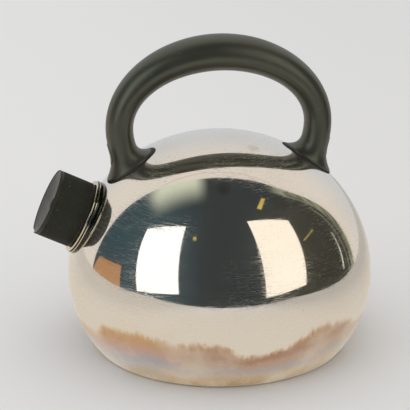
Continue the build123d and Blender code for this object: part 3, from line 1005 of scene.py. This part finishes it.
# Floor, light and what the steel mirrors
room = {"floor": (0.806, 0.805, 0.808), "floorMarks": (0.76, 0.76, 0.76), "light": (0.92, 0.918, 0.912),
        # the table in mirrors: close to the kettle, further out, to the right and to the left, with painted
        # light and shade, brighter and warmer close to the kettle and darker to the right and left
        "tableNear": (0.96, 0.89, 0.78), "tableFar": (0.94, 0.92, 0.89), "tableRight": (0.72, 0.69, 0.65),
        "tableLeft": (0.80, 0.76, 0.70),
        # the room in front: teal to the left, olive to the right, a ceiling patch, a curtain and its cord
        "dark": (0.024, 0.032, 0.034), "teal": (0.030, 0.062, 0.076), "olive": (0.036, 0.036, 0.026),
        "ceiling": (0.68, 0.73, 0.58), "curtain": (0.31, 0.33, 0.23), "folds": (0.12, 0.125, 0.085),
        "cord": (0.55, 0.53, 0.45),
        "backdropWarm": (0.74, 0.695, 0.64), "backdropCool": (0.60, 0.625, 0.655),
        "seam": (0.34, 0.27, 0.23), "glow": 1.12}
# outline of the table that the steel mirrors, seen from above with the camera at the front
tableOutline = ((-1.12, -0.975), (0.77, -0.605), (0.60, 0.0), (0.72, 1.2), (-1.05, 1.2))
# where the pale backdrop begins in mirrors: sideways direction, direction away from the camera
backdropEdge = ((-1.0, 0.36), (-0.948, 0.318), (-0.778, 0.304), (-0.586, 0.280), (-0.342, 0.245),
                (-0.013, 0.227), (0.302, 0.244), (0.55, 0.272), (0.716, 0.376), (0.826, 0.487), (1.0, 0.60))


def addStaged(name, points, mat, **seenBy):
    mesh = bpy.data.meshes.new(name)
    mesh.from_pydata(points, [], [tuple(range(len(points)))])
    mesh.materials.append(mat)
    piece = bpy.data.objects.new(name, mesh)
    scene.collection.objects.link(piece)
    for kind, seen in seenBy.items():
        setattr(piece, "visible_" + kind, seen)


def makeFloor():
    # One wide floor that the camera sees, and a table top of the real size that only the steel mirrors
    for name, corners, mirrored in (("floor", ((-6, -6), (6, -6), (6, 6), (-6, 6)), False),
                                    ("tableTop", tableOutline, True)):
        points = [turn @ Vector((x, y, -0.00002 if mirrored else -0.00001)) for x, y in corners]
        mat, tree = newMaterial(name)
        place = objectPlace(tree)
        x = splitUp(tree, place)["X"]
        if mirrored:
            # painted light and shade: the mirrored table is painted brighter close to the kettle and darker
            # to the right and to the left
            far = remap(tree, vectorMath(tree, "LENGTH", place), 0.10, 0.7)
            pale = mixColor(tree, far, room["tableNear"], room["tableFar"])
            pale = mixColor(tree, remap(tree, x, 0.12, 0.40), pale, room["tableRight"])
            pale = mixColor(tree, remap(tree, x, -0.16, -0.42), pale, room["tableLeft"])
        else:
            # painted shade: the floor is painted darker towards the right
            shaded = tuple(v * 0.93 for v in room["floor"])
            pale = mixColor(tree, remap(tree, x, -0.25, 0.45), room["floor"], shaded)
            pale = mixColor(tree, times(tree, addNoise(tree, place, 1.5), 0.3), pale, room["floorMarks"])
        shader = addNode(tree, "ShaderNodeBsdfDiffuse", {"Color": pale})
        addNode(tree, "ShaderNodeOutputMaterial", {0: shader.outputs[0]})
        addStaged(name, points, mat, glossy=mirrored, camera=not mirrored, diffuse=not mirrored,
                  shadow=not mirrored, transmission=not mirrored)


def makeWorld():
    world = bpy.data.worlds.new("studio")
    world.use_nodes = True
    scene.world = world
    tree = world.node_tree
    tree.nodes.clear()
    way = addNode(tree, "ShaderNodeMapping", {
        "Vector": addNode(tree, "ShaderNodeTexCoord").outputs["Generated"],
        "Rotation": (0, 0, -math.radians(camera["azimuth"]))}).outputs[0]
    x, y, z = splitUp(tree, way)
    edge = addCurve(tree, times(tree, plus(tree, x, 1.0), 0.5), [((a + 1) / 2, b) for a, b in backdropEdge])
    past = minus(tree, y, edge)
    seen = mixColor(tree, remap(tree, x, -0.75, -0.05), room["teal"], room["dark"])
    seen = mixColor(tree, remap(tree, x, 0.35, 0.85), seen, room["olive"])
    ceiling = times(tree, window(tree, x, -0.66, -0.17, 0.08), remap(tree, y, -0.20, 0.25))
    ceiling = times(tree, ceiling, remap(tree, z, 0.68, 0.84))
    seen = mixColor(tree, times(tree, ceiling, 0.95), seen, room["ceiling"])
    upright = addNode(tree, "ShaderNodeMapping", {"Vector": way, "Scale": (1.0, 5.0, 0.6)})
    folds = remap(tree, addNoise(tree, upright.outputs[0], 9.0), 0.42, 0.60)
    hanging = times(tree, window(tree, past, -0.105, 0.02, 0.012), remap(tree, x, 0.42, 0.55))
    cloth = mixColor(tree, folds, room["curtain"], room["folds"])
    seen = mixColor(tree, times(tree, hanging, 0.9), seen, cloth)
    cord = times(tree, window(tree, past, -0.175, -0.165, 0.006), remap(tree, x, 0.74, 0.82))
    seen = mixColor(tree, times(tree, cord, 0.7), seen, room["cord"])
    # the pale backdrop behind the kettle, with a seam that bows
    pale = mixColor(tree, remap(tree, y, 0.55, 0.98), room["backdropWarm"], room["backdropCool"])
    bow = times(tree, plus(tree, x, 0.02), plus(tree, x, 0.02))
    bow = minus(tree, past, minus(tree, 0.095, times(tree, bow, 0.31)))
    seam = times(tree, window(tree, bow, -0.004, 0.004, 0.005), window(tree, x, -0.52, 0.50, 0.05))
    pale = mixColor(tree, times(tree, seam, 0.65), pale, room["seam"])
    seen = mixColor(tree, remap(tree, past, -0.008, 0.008), seen, pale)
    mirrored = addNode(tree, "ShaderNodeLightPath").outputs["Is Glossy Ray"]
    color = mixColor(tree, mirrored, room["light"], seen)
    back = addNode(tree, "ShaderNodeBackground", {"Color": color, "Strength": 1.0})
    addNode(tree, "ShaderNodeOutputWorld", {0: back.outputs[0]})


# Emitting cards that only the reflections show: directions of the corners from the kettle, colour, glow
cards = {
    "leftBox": (((-0.865, -0.499, -0.045), (-0.474, -0.880, 0.037), (-0.381, -0.459, 0.803),
                 (-0.753, -0.220, 0.620)), (1.0, 1.0, 1.0), 1.15),
    "rightBox": (((0.541, -0.841, -0.023), (0.901, -0.433, 0.012), (0.707, -0.153, 0.691),
                  (0.311, -0.421, 0.852)), (1.0, 0.935, 0.82), 1.0),
    "amberCard": (((-0.930, 0.270, -0.130), (-0.940, -0.263, -0.130), (-0.962, -0.214, 0.150),
                   (-0.979, 0.192, 0.066)), (0.56, 0.30, 0.14), 0.72),
    "stripA": (((0.401, -0.205, 0.893), (0.446, -0.201, 0.872), (0.460, -0.022, 0.888),
                (0.427, -0.024, 0.904)), (0.62, 0.50, 0.12), 0.85),
    "stripB": (((0.858, -0.216, 0.466), (0.867, -0.200, 0.457), (0.887, 0.017, 0.462),
                (0.881, -0.001, 0.474)), (0.55, 0.48, 0.16), 0.80),
    "lineA": (((0.963, 0.238, 0.129), (0.958, 0.259, 0.119), (0.925, 0.259, 0.277), (0.928, 0.239, 0.284)),
              (0.72, 0.72, 0.62), 0.70),
    "lineB": (((0.976, 0.206, -0.065), (0.970, 0.229, -0.076), (0.958, 0.261, 0.116), (0.963, 0.239, 0.125)),
              (0.80, 0.80, 0.72), 0.90),
    "stripC": (((-0.310, -0.640, 0.704), (-0.275, -0.650, 0.710), (-0.273, -0.615, 0.740),
                (-0.308, -0.600, 0.735)), (0.62, 0.52, 0.14), 0.70),
}


def makeCards():
    # Only the large soft boxes also light the kettle
    for name, (corners, color, glow) in cards.items():
        points = [turn @ (Vector(c) * 1.6) + Vector((0, 0, 0.1)) for c in corners]
        mat, tree = newMaterial(name)
        shine = addNode(tree, "ShaderNodeEmission", {"Color": color, "Strength": glow * room["glow"]})
        addNode(tree, "ShaderNodeOutputMaterial", {0: shine.outputs[0]})
        addStaged(name, points, mat, camera=False, shadow=False, diffuse="Box" in name)


makeFloor()
makeWorld()
makeCards()
print("floor and light set")
